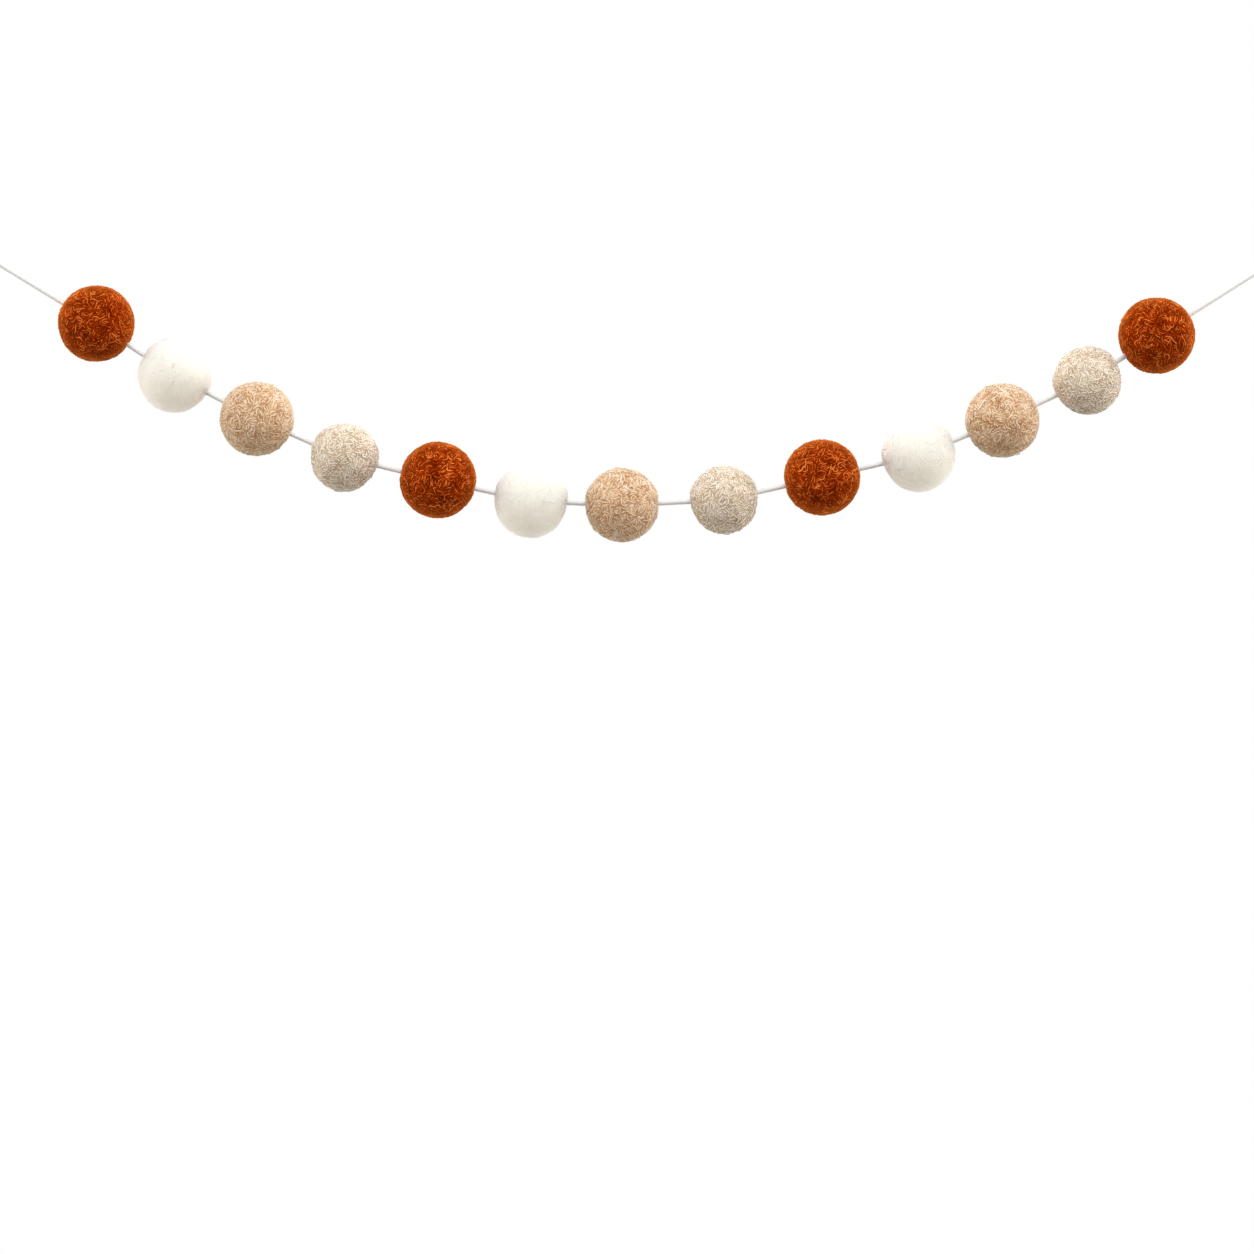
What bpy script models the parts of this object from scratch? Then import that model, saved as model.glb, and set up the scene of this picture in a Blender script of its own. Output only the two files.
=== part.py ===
"""Felt ball garland: hand-rolled wool balls threaded on one cotton cord, hanging between two tied loops.

Metres, +Z up. Seen from the front, looking along +Y, the garland swags from left to right.
The origin is the point where a nail or hook carries the left loop.
"""

import math
from collections import namedtuple

import bmesh
import bpy
from mathutils import Matrix, Vector

MM = 0.001

# The cord, and the clearance that it keeps in each needle hole and at each knot
CORD_RADIUS = 0.85 * MM
CORD_BEVEL_RESOLUTION = 2
CLEARANCE = 0.3 * MM
CORD_COLOUR = (0.80, 0.79, 0.76)
CORD_ROUGHNESS = 0.85

# Each felt: the diameter that its balls are rolled to, its colour and its roughness
Felt = namedtuple("Felt", "diameter colour roughness")
FELTS = {
    "rust": Felt(25.6 * MM, (0.445, 0.082, 0.010), 0.95),
    "white": Felt(24.7 * MM, (0.845, 0.810, 0.730), 0.95),
    "tan": Felt(24.9 * MM, (0.560, 0.355, 0.205), 0.95),
    "oatmeal": Felt(22.9 * MM, (0.600, 0.470, 0.330), 0.95),
}

# Each ball from left to right: its felt, and how far it hangs across and below the left bearing point, in mm
Ball = namedtuple("Ball", "felt across drop")
BALLS = (
    Ball("rust", 65.1, 39.9),
    Ball("white", 91.2, 57.3),
    Ball("tan", 118.6, 71.6),
    Ball("oatmeal", 147.8, 84.6),
    Ball("rust", 179.0, 92.1),
    Ball("white", 209.9, 99.1),
    Ball("tan", 240.3, 100.4),
    Ball("oatmeal", 274.4, 98.7),
    Ball("rust", 307.0, 91.2),
    Ball("white", 339.3, 83.8),
    Ball("tan", 367.2, 72.2),
    Ball("oatmeal", 395.5, 58.9),
    Ball("rust", 418.6, 43.9),
)

# How a ball is turned: rings down its side, steps round it, and the dimple where the cord draws the felt in
NEEDLE_HOLE_RADIUS = CORD_RADIUS + CLEARANCE
BALL_RINGS = 16
BALL_STEPS = 20
DIMPLE_DEPTH = 0.5 * MM
DIMPLE_SPREAD = math.radians(12)

# The cord turns a little inside each ball: felt up to the first distance from it turns with it, and felt
# from the second distance on keeps its place
BENT_FELT = 2.5 * MM
STILL_FELT = 9 * MM

# The soft lumps that rolling by hand leaves: their height, their size, and how near a hole they start
LUMP_HEIGHT = 0.5 * MM
LUMP_SIZE = 9 * MM
LUMP_START = math.radians(45)

# The two bearing points that the garland hangs from, across and below the left one, in mm
Hook = namedtuple("Hook", "across drop")
LEFT_HOOK = Hook(0.0, 0.0)
RIGHT_HOOK = Hook(483.9, 2.5)

# A tied loop, measured from the middle of its knot to the cord's centre line at its far end
LOOP_LENGTH = 24 * MM
LOOP_SPREAD = 6 * MM
LOOP_POINTS = 25
LOOP_ROOT = 0.58  # radians along the drop-shaped curve, where each leg leaves the knot
HOOK_REACH = LOOP_LENGTH - CORD_RADIUS

# Its knot: three turns of the cord side by side
KNOT_TURNS = 3
TURN_PITCH = 1.9 * MM
TURN_RADIUS = 0.95 * MM
KNOT_CORE_RADIUS = 1.45 * MM
TURN_RINGS = 6
KNOT_STEPS = 16
KNOT_HALF_LENGTH = (KNOT_TURNS - 1) / 2 * TURN_PITCH + TURN_RADIUS

# Its free end, which droops beside the cord: up from it, back along the cord and to one side, in mm
End = namedtuple("End", "up back aside")
FREE_END = (
    End(-1.2, 1.3, 0.0),
    End(-2.3, 3.3, 0.2),
    End(-3.2, 5.6, 0.5),
    End(-4.0, 8.0, 0.7),
    End(-4.6, 10.4, 0.7),
)
FREE_END_POINTS = 9

# How many straight pieces the cord's curve is drawn with
TAIL_PIECES = 8
SPAN_PIECES = 3


def clear_scene():
    for thing in list(bpy.data.objects):
        bpy.data.objects.remove(thing, do_unlink=True)


def new_collection(name):
    group = bpy.data.collections.new(name)
    bpy.context.scene.collection.children.link(group)
    return group


def finish_material(name, colour, roughness):
    material = bpy.data.materials.new(name)
    material.use_nodes = True
    material.diffuse_color = (*colour, 1)
    shader = material.node_tree.nodes["Principled BSDF"]
    shader.inputs["Base Color"].default_value = (*colour, 1)
    shader.inputs["Roughness"].default_value = roughness
    shader.inputs["Metallic"].default_value = 0
    return material


def hung_at(spot):
    """A ball's or hook's place in the frame, from its millimetres across and below the left bearing point."""
    return Vector((spot.across * MM, 0, -spot.drop * MM))


def frame_along(pull, place):
    """A frame at a place, with its Z along the cord's pull and its X as near upright as it can be."""
    across = Vector((0, 1, 0)).cross(pull).normalized()
    if across.z < 0:
        across.negate()
    turn = Matrix((across, pull.cross(across), pull)).transposed()
    return Matrix.Translation(place) @ turn.to_4x4()


def knot_place(hook, nearest_ball):
    """The middle of a knot, on the taut line from its hook to the nearest ball."""
    return hook + (nearest_ball - hook).normalized() * HOOK_REACH


def turns_through(stops):
    """For each ball, its frame, with Z midway between the cord's directions into and out of it, and the
    cord's slope from that Z on either side of the ball's middle."""
    turns = []
    for before, centre, after in zip(stops, stops[1:], stops[2:]):
        arriving = (centre - before).normalized()
        leaving = (after - centre).normalized()
        place = frame_along((arriving + leaving).normalized(), centre)
        upright, along = place.col[0].to_3d(), place.col[2].to_3d()
        turns.append((place, leaving.dot(upright) / leaving.dot(along)))
    return turns


def hole_half_length(diameter):
    """How far each mouth of a ball's needle hole is from the ball's middle, along the hole."""
    return math.sqrt((diameter / 2 - DIMPLE_DEPTH) ** 2 - NEEDLE_HOLE_RADIUS**2)


def on_curve(start, end, leaving, arriving, t):
    """A point t of the way along a smooth curve from start to end, with the given directions at its ends."""
    length = (end - start).length
    return (
        start * (2 * t**3 - 3 * t**2 + 1)
        + leaving * length * (t**3 - 2 * t**2 + t)
        + end * (3 * t**2 - 2 * t**3)
        + arriving * length * (t**3 - t**2)
    )


def smooth_run(start, end, leaving, arriving, pieces):
    """The points between start and end, without either, that part their smooth curve into equal pieces."""
    return [on_curve(start, end, leaving, arriving, step / pieces) for step in range(1, pieces)]


def cord_points(knots, turns, diameters):
    """The cord from knot to knot: taut from ball to ball, with its small turns inside the balls."""
    left_knot, right_knot = knots
    middles = [place.to_translation() for place, _ in turns]
    leaving = (middles[0] - left_knot).normalized()
    arriving = (right_knot - middles[-1]).normalized()
    knot_face = KNOT_HALF_LENGTH + CLEARANCE
    points = [left_knot + leaving * knot_face]
    heading = leaving
    for (place, slope), middle, diameter in zip(turns, middles, diameters):
        half = hole_half_length(diameter)
        mouth_in, mouth_out = (place @ Vector((slope * half, 0, along)) for along in (-half, half))
        pieces = TAIL_PIECES if heading is leaving else SPAN_PIECES
        points += smooth_run(points[-1], mouth_in, heading, (middle - mouth_in).normalized(), pieces)
        points += [mouth_in, middle, mouth_out]
        heading = (mouth_out - middle).normalized()
    end = right_knot - arriving * knot_face
    points += smooth_run(points[-1], end, heading, arriving, TAIL_PIECES)
    points.append(end)
    return points


def cord_tube(name, points, collection):
    """A round tube of the cord's own thickness along the points, with closed ends."""
    curve = bpy.data.curves.new(name, "CURVE")
    curve.dimensions = "3D"
    curve.bevel_depth = CORD_RADIUS
    curve.bevel_resolution = CORD_BEVEL_RESOLUTION
    curve.use_fill_caps = True
    spline = curve.splines.new("POLY")
    spline.points.add(len(points) - 1)
    for place, point in zip(spline.points, points):
        place.co = (*point, 1)
    tube = bpy.data.objects.new(name, curve)
    collection.objects.link(tube)
    return tube


def meshed(tube, collection):
    """The same tube as a mesh with its caps welded on, in place of the curve, for joining to a knot."""
    name = tube.name
    place = tube.matrix_world.copy()
    seen = tube.evaluated_get(bpy.context.evaluated_depsgraph_get())
    mesh = bpy.data.meshes.new_from_object(seen)
    bpy.data.objects.remove(tube, do_unlink=True)
    welded = bmesh.new()
    welded.from_mesh(mesh)
    bmesh.ops.remove_doubles(welded, verts=welded.verts, dist=0.001 * MM)
    welded.to_mesh(mesh)
    welded.free()
    piece = bpy.data.objects.new(name, mesh)
    piece.matrix_world = place
    piece.hide_render = True
    piece.display_type = "WIRE"
    collection.objects.link(piece)
    return piece


def profile_mesh(name, points, closed):
    """An outline of edges for a Screw modifier."""
    outline = bmesh.new()
    corners = [outline.verts.new(point) for point in points]
    for first, second in zip(corners, corners[1:]):
        outline.edges.new((first, second))
    if closed:
        outline.edges.new((corners[-1], corners[0]))
    mesh = bpy.data.meshes.new(name)
    outline.to_mesh(mesh)
    outline.free()
    return mesh


def turn_round(thing, steps):
    """Turns an outline once round its own Z."""
    screw = thing.modifiers.new("turned", "SCREW")
    screw.steps = steps
    screw.render_steps = steps
    screw.use_merge_vertices = True
    screw.merge_threshold = 0.001 * MM
    screw.use_smooth_shade = True


def ball_outline(diameter):
    """The ball's section beside its hole, from one mouth round to the other and back along the hole, as
    (angle from the nearer mouth, point) pairs."""
    radius = diameter / 2
    mouth = math.asin(NEEDLE_HOLE_RADIUS / (radius - DIMPLE_DEPTH))
    outline = []
    for ring in range(BALL_RINGS + 1):
        angle = mouth + (math.pi - 2 * mouth) * ring / BALL_RINGS
        from_mouth = min(angle, math.pi - angle) - mouth
        reach = radius - DIMPLE_DEPTH * math.exp(-((from_mouth / DIMPLE_SPREAD) ** 2))
        outline.append((from_mouth, Vector((reach * math.sin(angle), 0, reach * math.cos(angle)))))
    outline.append((0.0, Vector((NEEDLE_HOLE_RADIUS, 0, 0))))
    return outline


def felt_outline_mesh(name, felt):
    """The turned outline that all balls of one felt share, with its material."""
    outline = ball_outline(felt.diameter)
    mesh = profile_mesh(name, [point for _, point in outline], closed=True)
    mesh.materials.append(finish_material(name, felt.colour, felt.roughness))
    return mesh


def turns_with_cord(point):
    """How fully the felt at this point of the outline turns with the cord."""
    faded = (point.x - BENT_FELT) / (STILL_FELT - BENT_FELT)
    return (1 + math.cos(math.pi * min(1.0, max(0.0, faded)))) / 2


def felt_ball(name, mesh, diameter, turn, lumps, collection):
    """A ball turned round its needle hole, which bends with the cord, with soft lumps that fade out towards
    the hole's two mouths."""
    place, slope = turn
    radius = diameter / 2
    ball = bpy.data.objects.new(name, mesh)
    ball.location = place.to_translation()
    ball.rotation_euler = place.to_euler()
    collection.objects.link(ball)
    rolled = ball.vertex_groups.new(name="rolled")
    near_cord = ball.vertex_groups.new(name="near_cord")
    for corner, (from_mouth, point) in enumerate(ball_outline(diameter)):
        rolled.add([corner], min(1.0, from_mouth / LUMP_START), "REPLACE")
        near_cord.add([corner], abs(point.z) / radius * turns_with_cord(point), "REPLACE")
    turn_round(ball, BALL_STEPS)
    bent = ball.modifiers.new("bent with the cord", "DISPLACE")
    bent.direction = "X"
    bent.mid_level = 0
    bent.strength = slope * radius
    bent.vertex_group = near_cord.name
    lumpy = ball.modifiers.new("hand rolled", "DISPLACE")
    lumpy.texture = lumps
    lumpy.texture_coords = "GLOBAL"
    lumpy.strength = LUMP_HEIGHT
    lumpy.vertex_group = rolled.name
    return ball


def knot_outline():
    """The knot's section from its top to its bottom, one round ridge for each turn of the cord."""
    points = [Vector((0, 0, KNOT_HALF_LENGTH))]
    for turn_number in range(KNOT_TURNS):
        height = ((KNOT_TURNS - 1) / 2 - turn_number) * TURN_PITCH
        for ring in range(TURN_RINGS + 1):
            angle = math.pi * ring / TURN_RINGS
            out = KNOT_CORE_RADIUS + TURN_RADIUS * math.sin(angle)
            points.append(Vector((out, 0, height + TURN_RADIUS * math.cos(angle))))
    points.append(Vector((0, 0, -KNOT_HALF_LENGTH)))
    return points


def loop_points():
    """A drop-shaped loop drawn taut over a hook, from one side of the knot round to the other."""
    points = []
    for step in range(LOOP_POINTS):
        angle = LOOP_ROOT + (2 * math.pi - 2 * LOOP_ROOT) * step / (LOOP_POINTS - 1)
        along = LOOP_LENGTH / 2 * (1 - math.cos(angle))
        across = LOOP_SPREAD * math.sin(angle) * math.sin(angle / 2)
        points.append(Vector((across, 0, along)))
    return points


def free_end_points():
    """The knot's free end, read from a smooth curve through its own few places."""
    places = [Vector((end.up, end.aside, -end.back)) * MM for end in FREE_END]
    last = len(places) - 1
    points = []
    for step in range(FREE_END_POINTS):
        along = last * step / (FREE_END_POINTS - 1)
        first = min(int(along), last - 1)
        leaving = (places[first + 1] - places[max(first - 1, 0)]).normalized()
        arriving = (places[min(first + 2, last)] - places[first]).normalized()
        points.append(on_curve(places[first], places[first + 1], leaving, arriving, along - first))
    return points


def tied_loop(name, place, material, collection, joined):
    """A hanging loop, its knot and its free end, joined as the one length of cord that they are."""
    knot = bpy.data.objects.new(name, profile_mesh(name, knot_outline(), closed=False))
    knot.location = place.to_translation()
    knot.rotation_euler = place.to_euler()
    collection.objects.link(knot)
    turn_round(knot, KNOT_STEPS)
    for label, points in (("bight", loop_points()), ("free_end", free_end_points())):
        strand = meshed(cord_tube(f"{name}_{label}", points, joined), joined)
        strand.matrix_world = place
        union = knot.modifiers.new(label, "BOOLEAN")
        union.operation = "UNION"
        union.solver = "EXACT"
        union.object = strand
    knot.data.materials.append(material)
    return knot


def main():
    clear_scene()
    garland = new_collection("felt_ball_garland")
    joined = new_collection("joined_strands")

    centres = [hung_at(ball) for ball in BALLS]
    left_hook, right_hook = hung_at(LEFT_HOOK), hung_at(RIGHT_HOOK)
    left_knot = knot_place(left_hook, centres[0])
    right_knot = knot_place(right_hook, centres[-1])
    turns = turns_through([left_knot, *centres, right_knot])

    lumps = bpy.data.textures.new("hand_rolled_lumps", "CLOUDS")
    lumps.noise_scale = LUMP_SIZE
    lumps.noise_depth = 0

    outlines = {name: felt_outline_mesh(f"felt_{name}", felt) for name, felt in FELTS.items()}
    diameters = [FELTS[ball.felt].diameter for ball in BALLS]
    for number, (ball, diameter, turn) in enumerate(zip(BALLS, diameters, turns), start=1):
        felt_ball(f"ball_{number:02d}", outlines[ball.felt], diameter, turn, lumps, garland)

    cotton = finish_material("cotton_cord", CORD_COLOUR, CORD_ROUGHNESS)
    cord = cord_tube("cord", cord_points((left_knot, right_knot), turns, diameters), garland)
    cord.data.materials.append(cotton)

    for side, hook, knot in (("left", left_hook, left_knot), ("right", right_hook, right_knot)):
        place = frame_along((hook - knot).normalized(), knot)
        tied_loop(f"loop_{side}", place, cotton, garland, joined)


main()
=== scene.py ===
import math
import random
import time

import bmesh
import bpy
import numpy as np
from mathutils import Matrix, Vector, noise


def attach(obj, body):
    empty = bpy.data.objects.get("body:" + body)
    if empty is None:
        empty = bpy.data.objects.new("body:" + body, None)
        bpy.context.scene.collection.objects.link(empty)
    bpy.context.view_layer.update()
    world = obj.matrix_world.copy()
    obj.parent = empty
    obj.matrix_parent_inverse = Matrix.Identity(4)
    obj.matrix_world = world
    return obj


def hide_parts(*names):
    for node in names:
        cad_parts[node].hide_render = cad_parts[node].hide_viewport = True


# Felt ball garland. Metres, +Z up, the front view looks along +Y. The origin is where the left loop hangs.
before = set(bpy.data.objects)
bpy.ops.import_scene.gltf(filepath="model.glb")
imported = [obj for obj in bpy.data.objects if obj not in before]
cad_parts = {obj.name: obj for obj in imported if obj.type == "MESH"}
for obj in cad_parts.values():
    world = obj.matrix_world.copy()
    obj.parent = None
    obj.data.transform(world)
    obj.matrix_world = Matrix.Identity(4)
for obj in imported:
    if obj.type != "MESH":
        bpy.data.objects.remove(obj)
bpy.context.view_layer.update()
mm = 0.001
started = time.time()
print("frame loaded:", len(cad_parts), "solids")


def report(stage):
    print(f"{stage} ({time.time() - started:.1f} s)")


# The picture: how big its pixels are at the garland, and where the frame's origin falls in it
picture = {
    "pixels": 1254,
    "mmPerPixel": 1 / 3,
    "originAcross": -99.0,
    "originDown": 203.8,
    "cameraDistance": 1.5,
    "sensorWidth": 36.0,  # mm
}


def addCamera():
    pixel = picture["mmPerPixel"] * mm
    middle = picture["pixels"] / 2
    data = bpy.data.cameras.new("camera")
    data.sensor_width = picture["sensorWidth"]
    data.lens = data.sensor_width * picture["cameraDistance"] / (picture["pixels"] * pixel)
    camera = bpy.data.objects.new("camera", data)
    across = (middle - picture["originAcross"]) * pixel
    up = (picture["originDown"] - middle) * pixel
    camera.location = (across, -picture["cameraDistance"], up)
    camera.rotation_euler = (math.radians(90), 0, 0)
    bpy.context.scene.collection.objects.link(camera)
    bpy.context.scene.camera = camera


# Small tools that every piece uses

def hexColour(code):
    channels = [int(code[i:i + 2], 16) / 255 for i in (1, 3, 5)]
    linear = [c / 12.92 if c <= 0.04045 else ((c + 0.055) / 1.055) ** 2.4 for c in channels]
    return (*linear, 1.0)


def addShaderNode(tree, kind, inputs=None, **settings):
    added = tree.nodes.new(kind)
    for name, value in settings.items():
        setattr(added, name, value)
    for name, value in (inputs or {}).items():
        if isinstance(value, bpy.types.NodeSocket):
            tree.links.new(value, added.inputs[name])
        else:
            added.inputs[name].default_value = value
    return added


def newMaterial(name):
    material = bpy.data.materials.new(name)
    material.use_nodes = True
    material.node_tree.nodes.clear()
    return material, material.node_tree


def showPiece(mesh, name, material):
    piece = bpy.data.objects.new(name, mesh)
    bpy.context.scene.collection.objects.link(piece)
    mesh.materials.clear()
    mesh.materials.append(material)
    return piece


def frameAlong(pull, place):
    # Z runs along the pull of the cord and X is as near upright as it can be
    across = Vector((0, 1, 0)).cross(pull).normalized()
    if across.z < 0:
        across.negate()
    turned = Matrix((across, pull.cross(across), pull)).transposed()
    return Matrix.Translation(place) @ turned.to_4x4()


def onCurve(start, end, leaving, arriving, t):
    length = (end - start).length
    return (start * (2 * t**3 - 3 * t**2 + 1) + leaving * length * (t**3 - 2 * t**2 + t)
            + end * (3 * t**2 - 2 * t**3) + arriving * length * (t**3 - t**2))


def smoothLine(places, spacing):
    # a smooth curve through a few places, read off about every spacing
    points = [places[0]]
    last = len(places) - 1
    for i in range(last):
        leaving = (places[i + 1] - places[max(i - 1, 0)]).normalized()
        arriving = (places[min(i + 2, last)] - places[i]).normalized()
        pieces = max(1, round((places[i + 1] - places[i]).length / spacing))
        points += [onCurve(places[i], places[i + 1], leaving, arriving, (k + 1) / pieces) for k in range(pieces)]
    return points


# The garland: each felt, and where each ball hangs, in mm across and up from the left bearing point
# each felt's first colour is for the felt under the strands, painted darker as shade in the gaps between them
felts = {
    "rust": {
        "diameter": 25.6, "slot": "felt_rust",
        "shadedUnder": "#460C00", "middle": "#A83400", "light": "#F89242",
        "seeds": 9000, "pitch": 0.50, "squeeze": 0.62, "step": 0.38, "length": 7.0, "width": 0.38,
        "swirl": 2.6, "crimp": 0.6, "loose": 30, "curl": 0.8, "looseShade": 0.05, "looseLift": 0.6, "stray": 0.3,
        "weave": 0.25, "tuck": 1.0, "matHeight": 0.05, "sink": 0.16, "shade": 0.60, "paintedDepthShade": 0.16,
        "curlSize": 1.5, "relief": 0.08,
        "soft": 0.8, "shine": 0.0, "scatter": 0.0, "sheen": 1.0, "sheenSpread": 0.4, "sheenTint": "#FF9440",
    },
    "white": {
        "diameter": 24.7, "slot": "felt_white",
        "shadedUnder": "#DCD6CB", "middle": "#E2DED5", "light": "#E7E5E0",
        "seeds": 0, "pitch": 1.1, "squeeze": 0.5, "step": 0.7, "length": 6.0, "width": 0.10,
        "swirl": 4.0, "crimp": 0.15, "loose": 60, "curl": 3.0, "looseShade": 0.1, "looseLift": 1.0, "stray": 0.5,
        "weave": 0.3, "tuck": 0.9, "matHeight": 0.03, "sink": 0.02, "shade": 0.85, "paintedDepthShade": 0.1,
        "curlSize": 5.0, "relief": 0.45,
        "soft": 0.0, "shine": 0.0, "scatter": 1.0, "sheen": 0.1, "sheenSpread": 0.5, "sheenTint": "#FFFFFF",
    },
    "tan": {
        "diameter": 24.9, "slot": "felt_tan",
        "shadedUnder": "#94623A", "middle": "#E9C8A2", "light": "#F9ECE1",
        "seeds": 9000, "pitch": 0.50, "squeeze": 0.60, "step": 0.38, "length": 6.0, "width": 0.42,
        "swirl": 3.0, "crimp": 0.5, "loose": 20, "curl": 0.8, "looseShade": 0.04, "looseLift": 1.0, "stray": 0.3,
        "weave": 0.22, "tuck": 0.9, "matHeight": 0.05, "sink": 0.24, "shade": 0.55, "paintedDepthShade": 0.18,
        "curlSize": 1.5, "relief": 0.08,
        "soft": 0.75, "shine": 0.1, "scatter": 0.0, "sheen": 0.4, "sheenSpread": 0.5, "sheenTint": "#FFF2E4",
    },
    "oatmeal": {
        "diameter": 22.9, "slot": "felt_oatmeal",
        "shadedUnder": "#A2866A", "middle": "#ECDCC6", "light": "#F8F1EA",
        "seeds": 7600, "pitch": 0.50, "squeeze": 0.60, "step": 0.38, "length": 6.0, "width": 0.42,
        "swirl": 3.0, "crimp": 0.5, "loose": 20, "curl": 0.8, "looseShade": 0.04, "looseLift": 1.0, "stray": 0.3,
        "weave": 0.22, "tuck": 0.9, "matHeight": 0.05, "sink": 0.24, "shade": 0.55, "paintedDepthShade": 0.18,
        "curlSize": 1.5, "relief": 0.08,
        "soft": 0.75, "shine": 0.1, "scatter": 0.0, "sheen": 0.4, "sheenSpread": 0.5, "sheenTint": "#FFF8F0",
    },
}
ballSpots = (
    ("rust", 65.1, -39.9),
    ("white", 91.2, -57.3),
    ("tan", 118.6, -71.6),
    ("oatmeal", 147.8, -84.6),
    ("rust", 179.0, -92.1),
    ("white", 209.9, -99.1),
    ("tan", 240.3, -100.4),
    ("oatmeal", 274.4, -98.7),
    ("rust", 307.0, -91.2),
    ("white", 339.3, -83.8),
    ("tan", 367.2, -72.2),
    ("oatmeal", 395.5, -58.9),
    ("rust", 418.6, -43.9),
)
ballSize = {
    "rings": 40,
    "steps": 60,
    "holeRadius": 0.92 * mm,
    "holeRings": 10,
    "dimpleDepth": 0.50 * mm,
    "dimpleSpread": math.radians(7),
    "bentFelt": 2.5 * mm,    # felt this near the cord turns with it
    "stillFelt": 9 * mm,     # and felt this far from it keeps its place
    "lumpHeight": 0.20 * mm,
    "lumpSize": 8 * mm,
    "matSize": 1.6 * mm,
    "keepOff": math.radians(5.5),  # how near the cord a strand may come
}
hooks = {"left": (0.0, 0.0), "right": (483.9, -2.5)}

cordSize = {
    "radius": 0.85 * mm,
    "clearance": 0.3 * mm,  # between the cord's end and its knot
    "step": 0.3 * mm,       # short, as longer steps would pinch the twisted cord between them
    "turnRadius": 2.0 * mm,  # how gently the cord turns inside a ball
    "layLength": 7.2 * mm,  # one full turn of the three plies
    "plies": 3,
    "pliesDepth": 0.012,    # how far the grooves go in, as a share of the radius
    "profilePoints": 18,
}
loopSize = {
    "length": 24 * mm,      # from the knot's middle to the cord's centre line at the far end
    "spread": 6 * mm,
    "root": 0.58,           # radians along the drop shape, where each leg leaves the knot
    "turnPitch": 1.9 * mm,
    "turns": 2,
    "turnRadius": 1.5 * mm,
    "knotHalfLength": 2.85 * mm,
    "tucked": 0.5,          # how thin the strand is pulled where it lies inside the knot
    "freeEnd": ((-2.3, 0.2, -3.3), (-3.2, 0.5, -5.6), (-4.0, 0.7, -8.0), (-4.6, 0.7, -10.4)),  # mm
}


def hungAt(across, up):
    return Vector((across * mm, 0, up * mm))


centres = [hungAt(across, up) for _, across, up in ballSpots]
hookPlaces = {side: hungAt(*spot) for side, spot in hooks.items()}
reach = loopSize["length"] - cordSize["radius"]
knots = {
    "left": hookPlaces["left"] + (centres[0] - hookPlaces["left"]).normalized() * reach,
    "right": hookPlaces["right"] + (centres[-1] - hookPlaces["right"]).normalized() * reach,
}


def turnsThrough(stops):
    # each ball's frame, Z midway between the cord's directions into and out of it, and the cord's slope from that Z
    turns = []
    for before, centre, after in zip(stops, stops[1:], stops[2:]):
        arriving = (centre - before).normalized()
        leaving = (after - centre).normalized()
        place = frameAlong((arriving + leaving).normalized(), centre)
        upright, along = place.col[0].to_3d(), place.col[2].to_3d()
        turns.append((place, leaving.dot(upright) / leaving.dot(along)))
    return turns


turns = turnsThrough([knots["left"], *centres, knots["right"]])


def cordRoute():
    # taut from ball to ball, with a small smooth turn inside each one
    leaving = (centres[0] - knots["left"]).normalized()
    arriving = (knots["right"] - centres[-1]).normalized()
    face = loopSize["knotHalfLength"] + cordSize["clearance"]
    points = [knots["left"] + leaving * face]

    def straightTo(end):
        start = points[-1]
        pieces = round((end - start).length / cordSize["step"])
        points.extend(start.lerp(end, (k + 1) / pieces) for k in range(pieces))

    for (felt, _, _), (place, slope) in zip(ballSpots, turns):
        half = felts[felt]["diameter"] / 2 * mm - ballSize["dimpleDepth"]
        pieces = 2 * round(half / cordSize["step"])
        for k in range(pieces + 1):
            along = half * (2 * k / pieces - 1)
            through = place @ Vector((slope * math.hypot(along, cordSize["turnRadius"]), 0, along))
            if k:
                points.append(through)
            else:
                straightTo(through)
    straightTo(knots["right"] - arriving * face)
    return points


def pliedProfile():
    # the cord's section: a round with one shallow groove between each two plies
    curve = bpy.data.curves.new("cordSection", "CURVE")
    curve.dimensions = "2D"
    spline = curve.splines.new("POLY")
    count = cordSize["profilePoints"]
    spline.points.add(count - 1)
    for i in range(count):
        angle = 2 * math.pi * i / count
        groove = 1 - abs(math.cos(angle * cordSize["plies"] / 2))
        radius = cordSize["radius"] * (1 - cordSize["pliesDepth"] * groove**2 * 2)
        spline.points[i].co = (radius * math.cos(angle), radius * math.sin(angle), 0, 1)
    spline.use_cyclic_u = True
    section = bpy.data.objects.new("cordSection", curve)
    bpy.context.scene.collection.objects.link(section)
    return section


def pliedTube(name, points, thickness, section):
    # the section swept along the points, turning once in every lay length
    curve = bpy.data.curves.new(name, "CURVE")
    curve.dimensions = "3D"
    curve.twist_mode = "MINIMUM"
    curve.bevel_mode = "OBJECT"
    curve.bevel_object = section
    curve.use_fill_caps = True
    spline = curve.splines.new("POLY")
    spline.points.add(len(points) - 1)
    along = 0.0
    for i, point in enumerate(points):
        if i:
            along += (point - points[i - 1]).length
        spline.points[i].co = (*point, 1)
        spline.points[i].radius = thickness[i]
        spline.points[i].tilt = 2 * math.pi * along / cordSize["layLength"]
    swept = bpy.data.objects.new(name, curve)
    bpy.context.scene.collection.objects.link(swept)
    mesh = bpy.data.meshes.new_from_object(swept.evaluated_get(bpy.context.evaluated_depsgraph_get()))
    bpy.data.objects.remove(swept, do_unlink=True)
    bpy.data.curves.remove(curve)
    welded = bmesh.new()
    welded.from_mesh(mesh)
    bmesh.ops.remove_doubles(welded, verts=welded.verts, dist=0.0005 * mm)
    bmesh.ops.recalc_face_normals(welded, faces=welded.faces)
    for face in welded.faces:
        face.smooth = len(face.verts) <= 4
    welded.to_mesh(mesh)
    welded.free()
    mesh.name = name
    return mesh


def makeCord(section, material):
    route = cordRoute()
    mesh = pliedTube("cottonCord", route, [1.0] * len(route), section)
    cord = showPiece(mesh, "cottonCord", material)
    return cord, route


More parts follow.
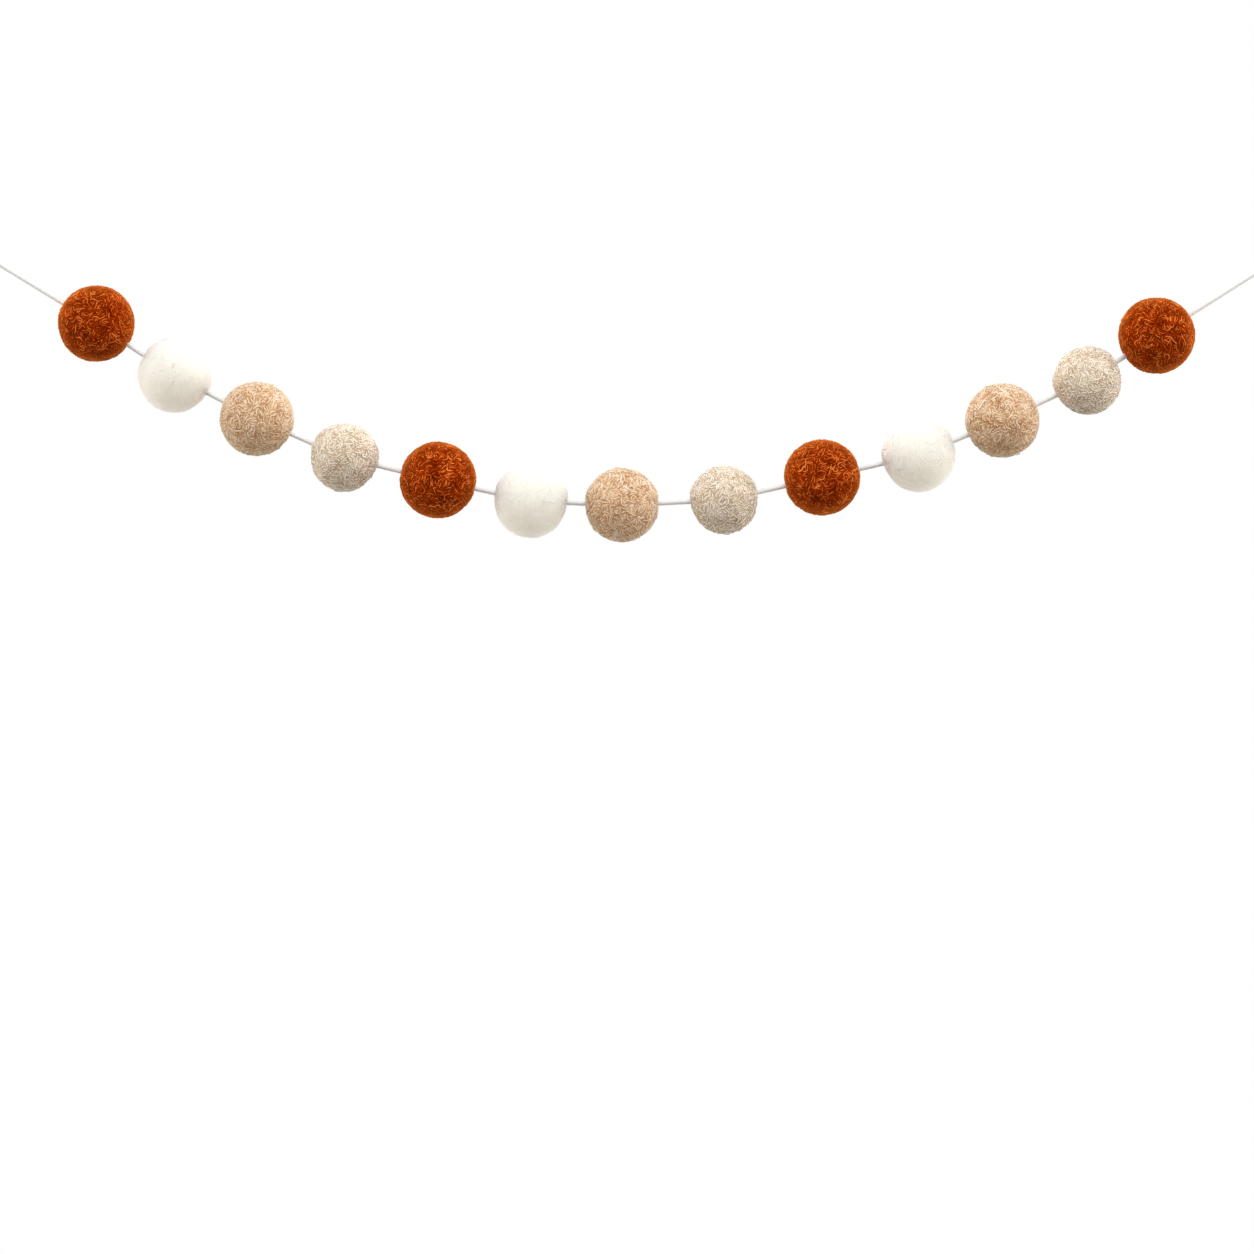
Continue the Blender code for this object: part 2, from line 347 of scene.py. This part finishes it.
def loopRoute():
    # one strand, in the knot's own frame: in from the cord, round the loop, twice round itself and out as a free end
    size = loopSize
    half, radius = size["knotHalfLength"], size["turnRadius"]
    places = [Vector((0, 0, -half)), Vector((0.1 * mm, 0, -half * 0.6)), Vector((0.6 * mm, 0, 0))]
    thickness = [1.0, 0.8, size["tucked"]]
    legPoints = 40
    for i in range(legPoints + 1):
        angle = size["root"] + (2 * math.pi - 2 * size["root"]) * i / legPoints
        along = size["length"] / 2 * (1 - math.cos(angle))
        across = size["spread"] * math.sin(angle) * math.sin(angle / 2)
        places.append(Vector((across, 0, along)))
        thickness.append(1.0 if 1 < i < legPoints - 1 else 0.9)
    turnPoints = 12
    top = size["turnPitch"] * size["turns"] / 2
    for i in range(size["turns"] * turnPoints + 1):
        angle = math.pi + 2 * math.pi * i / turnPoints
        height = top - size["turnPitch"] * i / turnPoints
        if i:
            places.append(Vector((radius * math.cos(angle), radius * math.sin(angle), height)))
            thickness.append(1.0)
    for place in size["freeEnd"]:
        places.append(Vector(place) * mm)
        thickness.append(1.0)
    spacing = cordSize["step"]
    points, thick = [places[0]], [thickness[0]]
    for i in range(len(places) - 1):
        between = smoothLine(places[max(i - 1, 0):i + 3], spacing)
        start = min(range(len(between)), key=lambda k: (between[k] - places[i]).length)
        stop = min(range(len(between)), key=lambda k: (between[k] - places[i + 1]).length)
        for k in range(start + 1, stop + 1):
            share = (k - start) / (stop - start)
            points.append(between[k])
            thick.append(thickness[i] + (thickness[i + 1] - thickness[i]) * share)
    return points, thick


def makeLoop(side, nearestBall, section, material):
    pull = (knots[side] - nearestBall).normalized()
    place = frameAlong(pull, knots[side])
    points, thick = loopRoute()
    mesh = pliedTube("hangingLoop" + side.title(), [place @ p for p in points], thick, section)
    return showPiece(mesh, "hangingLoop" + side.title(), material)


# A felt ball: its rolled body, and the curled strands of wool that lie matted on it
def surfaceReach(direction, felt, offset):
    # how far the felt's surface is from the ball's middle, in that direction
    size = ballSize
    radius = felt["diameter"] / 2 * mm
    fromHole = min(direction.angle(Vector((0, 0, 1))), direction.angle(Vector((0, 0, -1))))
    dimple = size["dimpleDepth"] * math.exp(-((fromHole / size["dimpleSpread"]) ** 2))
    fade = min(1.0, fromHole / math.radians(35))
    at = direction * radius
    lump = noise.noise(at / size["lumpSize"] + offset) * size["lumpHeight"]
    mat = noise.noise(at / size["matSize"] + offset * 2) * felt["matHeight"] * mm
    return radius - dimple + (lump + mat) * fade


def feltBody(felt, offset):
    size = ballSize
    radius = felt["diameter"] / 2 * mm
    body = bmesh.new()
    mouth = math.asin(size["holeRadius"] / (radius - size["dimpleDepth"]))
    side = []
    for ring in range(size["rings"] + 1):
        share = ring / size["rings"]
        angle = mouth + (math.pi - 2 * mouth) * (share - math.sin(4 * math.pi * share) / (4 * math.pi) * 0.45)
        side.append(body.verts.new((radius * math.sin(angle), 0, radius * math.cos(angle))))
    half = side[0].co.z
    for ring in range(1, size["holeRings"]):
        side.append(body.verts.new((size["holeRadius"], 0, half * (2 * ring / size["holeRings"] - 1))))
    edges = [body.edges.new(pair) for pair in zip(side, side[1:] + side[:1])]
    bmesh.ops.spin(body, geom=side + edges, cent=(0, 0, 0), axis=(0, 0, 1), angle=2 * math.pi,
                   steps=size["steps"], use_merge=True, use_duplicate=False)
    bmesh.ops.remove_doubles(body, verts=body.verts, dist=0.0005 * mm)
    for vert in body.verts:
        if math.hypot(vert.co.x, vert.co.y) < size["holeRadius"] * 1.1:
            vert.co.z *= 1 - size["dimpleDepth"] / radius
        else:
            direction = vert.co.normalized()
            vert.co = direction * (surfaceReach(direction, felt, offset) - felt["sink"] * mm)
    bmesh.ops.recalc_face_normals(body, faces=body.faces)
    for face in body.faces:
        face.smooth = True
    mesh = bpy.data.meshes.new("feltBody")
    body.to_mesh(mesh)
    body.free()
    return mesh


def spiralDirection(i, count):
    # evenly spread directions round a ball
    up = 1 - 2 * (i + 0.5) / count
    turn = i * math.pi * (3 - math.sqrt(5))
    flat = math.sqrt(1 - up * up)
    return Vector((flat * math.cos(turn), flat * math.sin(turn), up))


def lieOfWool(direction, felt, offset):
    # which way the strands lie at this place on the ball: it swirls from place to place, with small bends in it
    at = direction * (felt["diameter"] / 2 / felt["swirl"]) + offset
    way = Vector(noise.noise_vector(at)) + Vector(noise.noise_vector(at * 2.7)) * felt["crimp"]
    return (way - direction * way.dot(direction)).normalized()


def stepped(direction, heading, ahead, turnBy):
    # one step over the ball, and the heading after it
    heading = heading * math.cos(turnBy) + direction.cross(heading) * math.sin(turnBy)
    moved = (direction * math.cos(ahead) + heading * math.sin(ahead)).normalized()
    heading = heading * math.cos(ahead) - direction * math.sin(ahead)
    return moved, (heading - moved * heading.dot(moved)).normalized()


def laidStrand(start, felt, offset, placed, chance):
    # from its middle both ways along the lie of the wool, until it meets another strand or is long enough
    radius = felt["diameter"] / 2
    ahead = felt["step"] / radius
    apart = math.cos(felt["pitch"] * felt["squeeze"] / radius)
    keepOff = math.cos(ballSize["keepOff"])
    halves = []
    for sense in (1, -1):
        direction, half = start, []
        heading = lieOfWool(direction, felt, offset) * sense
        for _ in range(round(felt["length"] * chance.uniform(0.4, 1.2) / 2 / felt["step"])):
            way = lieOfWool(direction, felt, offset)
            if way.dot(heading) < 0:
                way.negate()
            heading = (heading * 0.4 + way).normalized()
            direction, heading = stepped(direction, heading, ahead, chance.gauss(0, 0.04))
            own = half[:-3] + halves[0][1:] if halves else half[:-3]
            if (abs(direction.z) > keepOff or (len(placed) and (placed @ direction).max() > apart)
                    or any(direction.dot(other) > apart for other in own)):
                break
            half.append(direction)
        halves.append(half)
    return halves[1][::-1] + [start] + halves[0]


def laidStrands(felt, offset, chance):
    # strands side by side all over the ball, none of them over another
    radius = felt["diameter"] / 2
    apart = math.cos(felt["pitch"] * 0.85 / radius)
    keepOff = math.cos(ballSize["keepOff"])
    places = np.empty((20000, 3))
    count = 0
    strands = []
    for i in chance.sample(range(felt["seeds"]), felt["seeds"]):
        start = (spiralDirection(i, felt["seeds"]) + Vector([chance.gauss(0, 0.01) for _ in range(3)])).normalized()
        if abs(start.z) > keepOff or (count and (places[:count] @ start).max() > apart):
            continue
        strand = laidStrand(start, felt, offset, places[:count], chance)
        if len(strand) > 3:
            places[count:count + len(strand)] = strand
            count += len(strand)
            strands.append(strand)
    return strands


def looseStrand(felt, chance):
    # a strand that wanders over the others, bending now one way and now the other
    radius = felt["diameter"] / 2
    ahead = felt["step"] / radius
    direction = Vector([chance.gauss(0, 1) for _ in range(3)]).normalized()
    heading = Vector([chance.gauss(0, 1) for _ in range(3)])
    heading = (heading - direction * heading.dot(direction)).normalized()
    bend = chance.gauss(0, 0.7) / felt["curl"] * felt["step"]
    swing = chance.uniform(0.3, 1.1) / felt["curl"] * felt["step"]
    phase = chance.uniform(0, 2 * math.pi)
    keepOff = math.cos(ballSize["keepOff"] * 1.5)
    walked = []
    for i in range(round(felt["length"] * chance.uniform(0.5, 1.0) / felt["step"])):
        if abs(direction.z) > keepOff:
            break
        walked.append(direction)
        direction, heading = stepped(direction, heading, ahead, bend + swing * math.sin(phase + i * 0.9))
    return walked


def strandPath(walk, felt, offset, loose, chance):
    # the strand's line, its middle a little under the ball's outline and its ends drawn in, and how light it is
    # there, with painted shade: darker where it dips in and lighter where it rises
    thick = felt["width"] / 2 * mm
    over = chance.uniform(0.0, 2 * math.pi)
    standsOut = loose and chance.random() < felt["stray"]
    own = chance.gauss(felt["shade"] + (felt["looseShade"] if loose else 0.0), 0.08)
    level = chance.gauss(0, 0.15) + (felt["looseLift"] if loose else 0.0) - 1.0
    points, shades = [], []
    for i, direction in enumerate(walk):
        share = i / (len(walk) - 1)
        rise = felt["weave"] * math.sin(over + i * 0.8)
        if standsOut:
            rise += 2.5 * max(0.0, share - 0.5)
        else:
            rise -= felt["tuck"] * (abs(2 * share - 1) ** 6)
        points.append(direction * (surfaceReach(direction, felt, offset) + (level + rise) * thick))
        # painted shade and light: the strand is darker where it dips into the felt and lighter where it rises
        shades.append(min(1.0, max(0.15, own + felt["paintedDepthShade"] * rise)))
    return points, shades


def strandSection():
    # a square is round enough for a strand less than half a millimetre thick
    curve = bpy.data.curves.new("strandSection", "CURVE")
    curve.dimensions = "2D"
    spline = curve.splines.new("POLY")
    spline.points.add(3)
    for i in range(4):
        angle = 2 * math.pi * i / 4
        spline.points[i].co = (math.cos(angle), math.sin(angle), 0, 1)
    spline.use_cyclic_u = True
    section = bpy.data.objects.new("strandSection", curve)
    bpy.context.scene.collection.objects.link(section)
    return section


def strandMesh(paths, widths, section):
    # all of a ball's strands as one curve of many splines, each tapered to a point at both ends
    curve = bpy.data.curves.new("strands", "CURVE")
    curve.dimensions = "3D"
    curve.bevel_mode = "OBJECT"
    curve.bevel_object = section
    for path, width in zip(paths, widths):
        spline = curve.splines.new("POLY")
        spline.points.add(len(path) - 1)
        last = len(path) - 1
        coordinates, radii = [], []
        for i, point in enumerate(path):
            coordinates += [*point, 1.0]
            radii.append(0.0 if i in (0, last) else width / 2 * (math.sin(math.pi * i / last) ** 0.35))
        spline.points.foreach_set("co", coordinates)
        spline.points.foreach_set("radius", radii)
    swept = bpy.data.objects.new("strands", curve)
    bpy.context.scene.collection.objects.link(swept)
    mesh = bpy.data.meshes.new_from_object(swept.evaluated_get(bpy.context.evaluated_depsgraph_get()))
    bpy.data.objects.remove(swept, do_unlink=True)
    bpy.data.curves.remove(curve)
    return mesh


def turnWithCord(joined, slope):
    # the felt round the needle hole leans over with the cord, out to where it keeps its place
    size = ballSize
    for vert in joined.verts:
        away = math.hypot(vert.co.x, vert.co.y)
        if away < size["stillFelt"]:
            faded = max(0.0, (away - size["bentFelt"]) / (size["stillFelt"] - size["bentFelt"]))
            fully = (1 + math.cos(math.pi * faded)) / 2
            vert.co.x += slope * math.hypot(vert.co.z, cordSize["turnRadius"]) * fully


def softenNormals(mesh, centre, radius, soft):
    # wool scatters light between its fibres, so a strand's sides are shaded partly as the ball's surface there
    count = len(mesh.vertices)
    spots, normals = np.empty(count * 3, np.float32), np.empty(count * 3, np.float32)
    mesh.vertices.foreach_get("co", spots)
    mesh.vertex_normals.foreach_get("vector", normals)
    outward = spots.reshape(-1, 3) - np.array(centre)
    away = np.linalg.norm(outward, axis=1, keepdims=True)
    share = np.where(away > 0.85 * radius, soft, 0.0)
    mixed = normals.reshape(-1, 3) * (1 - share) + outward / away * share
    mixed /= np.linalg.norm(mixed, axis=1, keepdims=True)
    mesh.normals_split_custom_set_from_vertices(mixed.tolist())


def makeBall(number, feltName, turn, section, material):
    felt = felts[feltName]
    chance = random.Random(100 + number)
    offset = Vector((number * 3.7, number * 1.9, number * 5.3))
    paths, widths, shades, corners = [], [], [], []
    walks = [(walk, False) for walk in laidStrands(felt, offset, chance)]
    walks += [(looseStrand(felt, chance), True) for _ in range(felt["loose"])]
    for walk, loose in walks:
        if len(walk) < 4:
            continue
        points, pointShades = strandPath(walk, felt, offset, loose, chance)
        paths.append(points)
        shades += pointShades
        corners += [1] + [4] * (len(points) - 2) + [1]
        widths.append(felt["width"] * mm * chance.uniform(0.8, 1.15))
    bodyMesh = feltBody(felt, offset)
    strands = strandMesh(paths, widths, section)
    layers = [(f"feltBall{number:02d}", (bodyMesh, strands))]
    if felt["scatter"]:
        layers = [(f"feltBall{number:02d}", (bodyMesh,)), (f"feltBall{number:02d}Fibres", (strands,))]
    pieces = []
    for name, meshes in layers:
        joined = bmesh.new()
        bodyVerts = 0
        for mesh in meshes:
            joined.from_mesh(mesh)
            if mesh is bodyMesh:
                bodyVerts = len(joined.verts)
        joined.verts.ensure_lookup_table()
        bmesh.ops.remove_doubles(joined, verts=joined.verts[bodyVerts:], dist=0.0002 * mm)
        bmesh.ops.recalc_face_normals(joined, faces=joined.faces)
        for face in joined.faces:
            face.smooth = True
        place, slope = turn
        turnWithCord(joined, slope)
        joined.transform(place)
        finished = bpy.data.meshes.new(name)
        joined.to_mesh(finished)
        joined.free()
        # the felt under the strands is left at 0, the darkest end of the colour ramp: painted shade in the gaps
        values = np.zeros(len(finished.vertices), np.float32)
        if strands in meshes:
            spread = np.repeat(np.array(shades, np.float32), corners)
            values[bodyVerts:] = spread
        softenNormals(finished, place.translation, felt["diameter"] / 2 * mm, felt["soft"])
        layer = finished.attributes.new("strandShade", "FLOAT", "POINT")
        layer.data.foreach_set("value", values)
        pieces.append(showPiece(finished, name, material))
    bpy.data.meshes.remove(bodyMesh)
    bpy.data.meshes.remove(strands)
    return pieces


def woolFelt(name, felt):
    # Wool felt, rolled in soapy water until the fibres matted: dead matt, light strands over gaps painted darker as
    # the shade between them
    material, tree = newMaterial("woolFelt" + name.title())
    place = addShaderNode(tree, "ShaderNodeTexCoord").outputs["Object"]
    shade = addShaderNode(tree, "ShaderNodeAttribute", attribute_name="strandShade").outputs["Fac"]
    patches = addShaderNode(tree, "ShaderNodeTexNoise", {"Vector": place, "Scale": 1 / (4 * mm), "Detail": 2.0})
    # the level lines of a soft noise run in small hooks and loops, as the fine wool under the strands does
    curls = addShaderNode(tree, "ShaderNodeTexNoise", {
        "Vector": place, "Scale": 1 / (felt["curlSize"] * mm), "Detail": 0.0})
    levels = addShaderNode(tree, "ShaderNodeMath", {0: curls.outputs["Fac"], 1: 9.0}, operation="MULTIPLY")
    lines = addShaderNode(tree, "ShaderNodeMath", {0: levels.outputs[0], 1: 0.5}, operation="PINGPONG")
    under = addShaderNode(tree, "ShaderNodeMath", {0: lines.outputs[0], 1: 0.7}, operation="MULTIPLY")
    level = addShaderNode(tree, "ShaderNodeMath", {0: shade, 1: under.outputs[0]}, operation="MAXIMUM")
    shift = addShaderNode(tree, "ShaderNodeMapRange", {
        "Value": patches.outputs["Fac"], "From Min": 0.3, "From Max": 0.7, "To Min": -0.12, "To Max": 0.12})
    tone = addShaderNode(tree, "ShaderNodeMath", {0: level.outputs[0], 1: shift.outputs[0]}, operation="ADD")
    ramp = addShaderNode(tree, "ShaderNodeValToRGB", {"Fac": tone.outputs[0]})
    # the darkest end colours the felt under the strands: painted shade in the gaps between them
    ramp.color_ramp.elements[0].position = 0.05
    ramp.color_ramp.elements[0].color = hexColour(felt["shadedUnder"])
    ramp.color_ramp.elements[1].position = 0.95
    ramp.color_ramp.elements[1].color = hexColour(felt["light"])
    middle = ramp.color_ramp.elements.new(0.5)
    middle.color = hexColour(felt["middle"])
    fibres = addShaderNode(tree, "ShaderNodeTexNoise", {"Vector": place, "Scale": 1 / (0.25 * mm), "Detail": 3.0})
    relief = addShaderNode(tree, "ShaderNodeMath", {0: lines.outputs[0], 1: fibres.outputs["Fac"]}, operation="ADD")
    bump = addShaderNode(tree, "ShaderNodeBump", {
        "Height": relief.outputs[0], "Strength": 0.6, "Distance": felt["relief"] * mm})
    shader = addShaderNode(tree, "ShaderNodeBsdfPrincipled", {
        "Base Color": ramp.outputs["Color"], "Roughness": 0.92, "Specular IOR Level": felt["shine"],
        "Sheen Weight": felt["sheen"], "Sheen Roughness": felt["sheenSpread"],
        "Sheen Tint": hexColour(felt["sheenTint"]),
        "Subsurface Weight": felt["scatter"],
        "Subsurface Radius": (1.0, 0.95, 0.85), "Subsurface Scale": 30 * mm, "Normal": bump.outputs["Normal"]})
    out = addShaderNode(tree, "ShaderNodeOutputMaterial")
    tree.links.new(shader.outputs["BSDF"], out.inputs["Surface"])
    return material


def cottonCordMaterial():
    # White cotton, three plies laid up and lightly waxed: smooth, with a soft dull shine
    material, tree = newMaterial("waxedCotton")
    place = addShaderNode(tree, "ShaderNodeTexCoord").outputs["Object"]
    fibres = addShaderNode(tree, "ShaderNodeTexNoise", {"Vector": place, "Scale": 1 / (0.3 * mm), "Detail": 3.0})
    ramp = addShaderNode(tree, "ShaderNodeValToRGB", {"Fac": fibres.outputs["Fac"]})
    ramp.color_ramp.elements[0].position = 0.25
    ramp.color_ramp.elements[0].color = hexColour("#D8D6D3")
    ramp.color_ramp.elements[1].position = 0.6
    ramp.color_ramp.elements[1].color = hexColour("#E4E2DF")
    bump = addShaderNode(tree, "ShaderNodeBump", {
        "Height": fibres.outputs["Fac"], "Strength": 0.1, "Distance": 0.03 * mm})
    shader = addShaderNode(tree, "ShaderNodeBsdfPrincipled", {
        "Base Color": ramp.outputs["Color"], "Roughness": 0.6, "Sheen Weight": 0.15,
        "Normal": bump.outputs["Normal"]})
    out = addShaderNode(tree, "ShaderNodeOutputMaterial")
    tree.links.new(shader.outputs["BSDF"], out.inputs["Surface"])
    return material


# The stage: a pale floor well below, white surroundings, a wide softbox above and in front, and more light round it
stage = {
    "floorDrop": 0.9,
    "floorRadius": 3.0,
    "floorColour": "#EFF0F2",
    "keyWay": (0.1, -1.0, 1.1),  # where the softbox stands, seen from the garland
    "keyDistance": 3.0,
    "keySize": 2.6,
    "keyEnergy": 96.0,
    "keyColour": "#F4F9FF",      # cool, as light from a window
    "aroundColour": "#FFFCF6",   # warm, as light thrown back by a room
    # the rest, as where each wide light stands, how bright it is and how fast it fades round its middle
    "around": (
        ((0, -1, -0.3), 0.34, 2),
        ((0, 1, -1), 6.2, 8),
        ((0, 1, 1), 1.8, 8),
        ((1, 0, 0), 3.1, 4),
        ((-1, 0, 0), 2.9, 4),
        ((1, 0, 1), 0.6, 4),
        ((-1, 0, 1), 0.6, 4),
    ),
}


def addStage():
    floor = bmesh.new()
    bmesh.ops.create_circle(floor, cap_ends=True, segments=96, radius=stage["floorRadius"])
    bmesh.ops.translate(floor, verts=floor.verts, vec=(centres[6].x, 0, -stage["floorDrop"]))
    mesh = bpy.data.meshes.new("floor")
    floor.to_mesh(mesh)
    floor.free()
    material, tree = newMaterial("palePaper")
    shader = addShaderNode(tree, "ShaderNodeBsdfPrincipled", {
        "Base Color": hexColour(stage["floorColour"]), "Roughness": 0.8})
    out = addShaderNode(tree, "ShaderNodeOutputMaterial")
    tree.links.new(shader.outputs["BSDF"], out.inputs["Surface"])
    paper = showPiece(mesh, "floor", material)
    paper.visible_diffuse = False  # the light from below reaches the garland past it

    lamp = bpy.data.lights.new("softbox", "AREA")
    lamp.shape = "SQUARE"
    lamp.size = stage["keySize"]
    lamp.energy = stage["keyEnergy"]
    lamp.color = hexColour(stage["keyColour"])[:3]
    softbox = bpy.data.objects.new("softbox", lamp)
    way = Vector(stage["keyWay"]).normalized()
    softbox.location = centres[6] + way * stage["keyDistance"]
    softbox.rotation_euler = way.to_track_quat("Z", "Y").to_euler()
    bpy.context.scene.collection.objects.link(softbox)

    world = bpy.data.worlds.new("surroundings")
    bpy.context.scene.world = world
    world.use_nodes = True
    tree = world.node_tree
    tree.nodes.clear()
    way = addShaderNode(tree, "ShaderNodeTexCoord").outputs["Generated"]
    total = 0.0
    for stands, strength, falloff in stage["around"]:
        facing = addShaderNode(tree, "ShaderNodeVectorMath", {
            0: way, 1: Vector(stands).normalized()}, operation="DOT_PRODUCT")
        ahead = addShaderNode(tree, "ShaderNodeMath", {0: facing.outputs["Value"], 1: 0.0}, operation="MAXIMUM")
        faded = addShaderNode(tree, "ShaderNodeMath", {0: ahead.outputs[0], 1: falloff}, operation="POWER")
        added = addShaderNode(tree, "ShaderNodeMath", {0: faded.outputs[0], 1: strength, 2: total},
                              operation="MULTIPLY_ADD")
        total = added.outputs[0]
    room = addShaderNode(tree, "ShaderNodeBackground", {
        "Color": hexColour(stage["aroundColour"]), "Strength": total})
    seen = addShaderNode(tree, "ShaderNodeBackground", {"Color": (1, 1, 1, 1), "Strength": 1.0})
    path = addShaderNode(tree, "ShaderNodeLightPath")
    mix = addShaderNode(tree, "ShaderNodeMixShader", {
        0: path.outputs["Is Camera Ray"], 1: room.outputs[0], 2: seen.outputs[0]})
    out = addShaderNode(tree, "ShaderNodeOutputWorld")
    tree.links.new(mix.outputs[0], out.inputs["Surface"])
    bpy.context.scene.view_settings.view_transform = "Standard"


addCamera()
cordSection = pliedProfile()
waxedCotton = cottonCordMaterial()
cord, route = makeCord(cordSection, waxedCotton)
loops = {
    "left": makeLoop("left", centres[0], cordSection, waxedCotton),
    "right": makeLoop("right", centres[-1], cordSection, waxedCotton),
}
bpy.data.objects.remove(cordSection, do_unlink=True)
cordLength = sum((b - a).length for a, b in zip(route, route[1:]))
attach(cord, "root")
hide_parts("cord")
for side, loop in loops.items():
    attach(loop, "root")
    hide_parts("loop_" + side)
report(f"cord made, {cordLength:.3f} m from knot to knot")

addStage()
strandTriangle = strandSection()
woolFelts = {name: woolFelt(name, felt) for name, felt in felts.items()}
for number, ((feltName, _, _), turn) in enumerate(zip(ballSpots, turns), start=1):
    for ball in makeBall(number, feltName, turn, strandTriangle, woolFelts[feltName]):
        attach(ball, "root")
        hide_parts(f"ball_{number:02d}")
bpy.data.objects.remove(strandTriangle, do_unlink=True)
report("felt balls made")
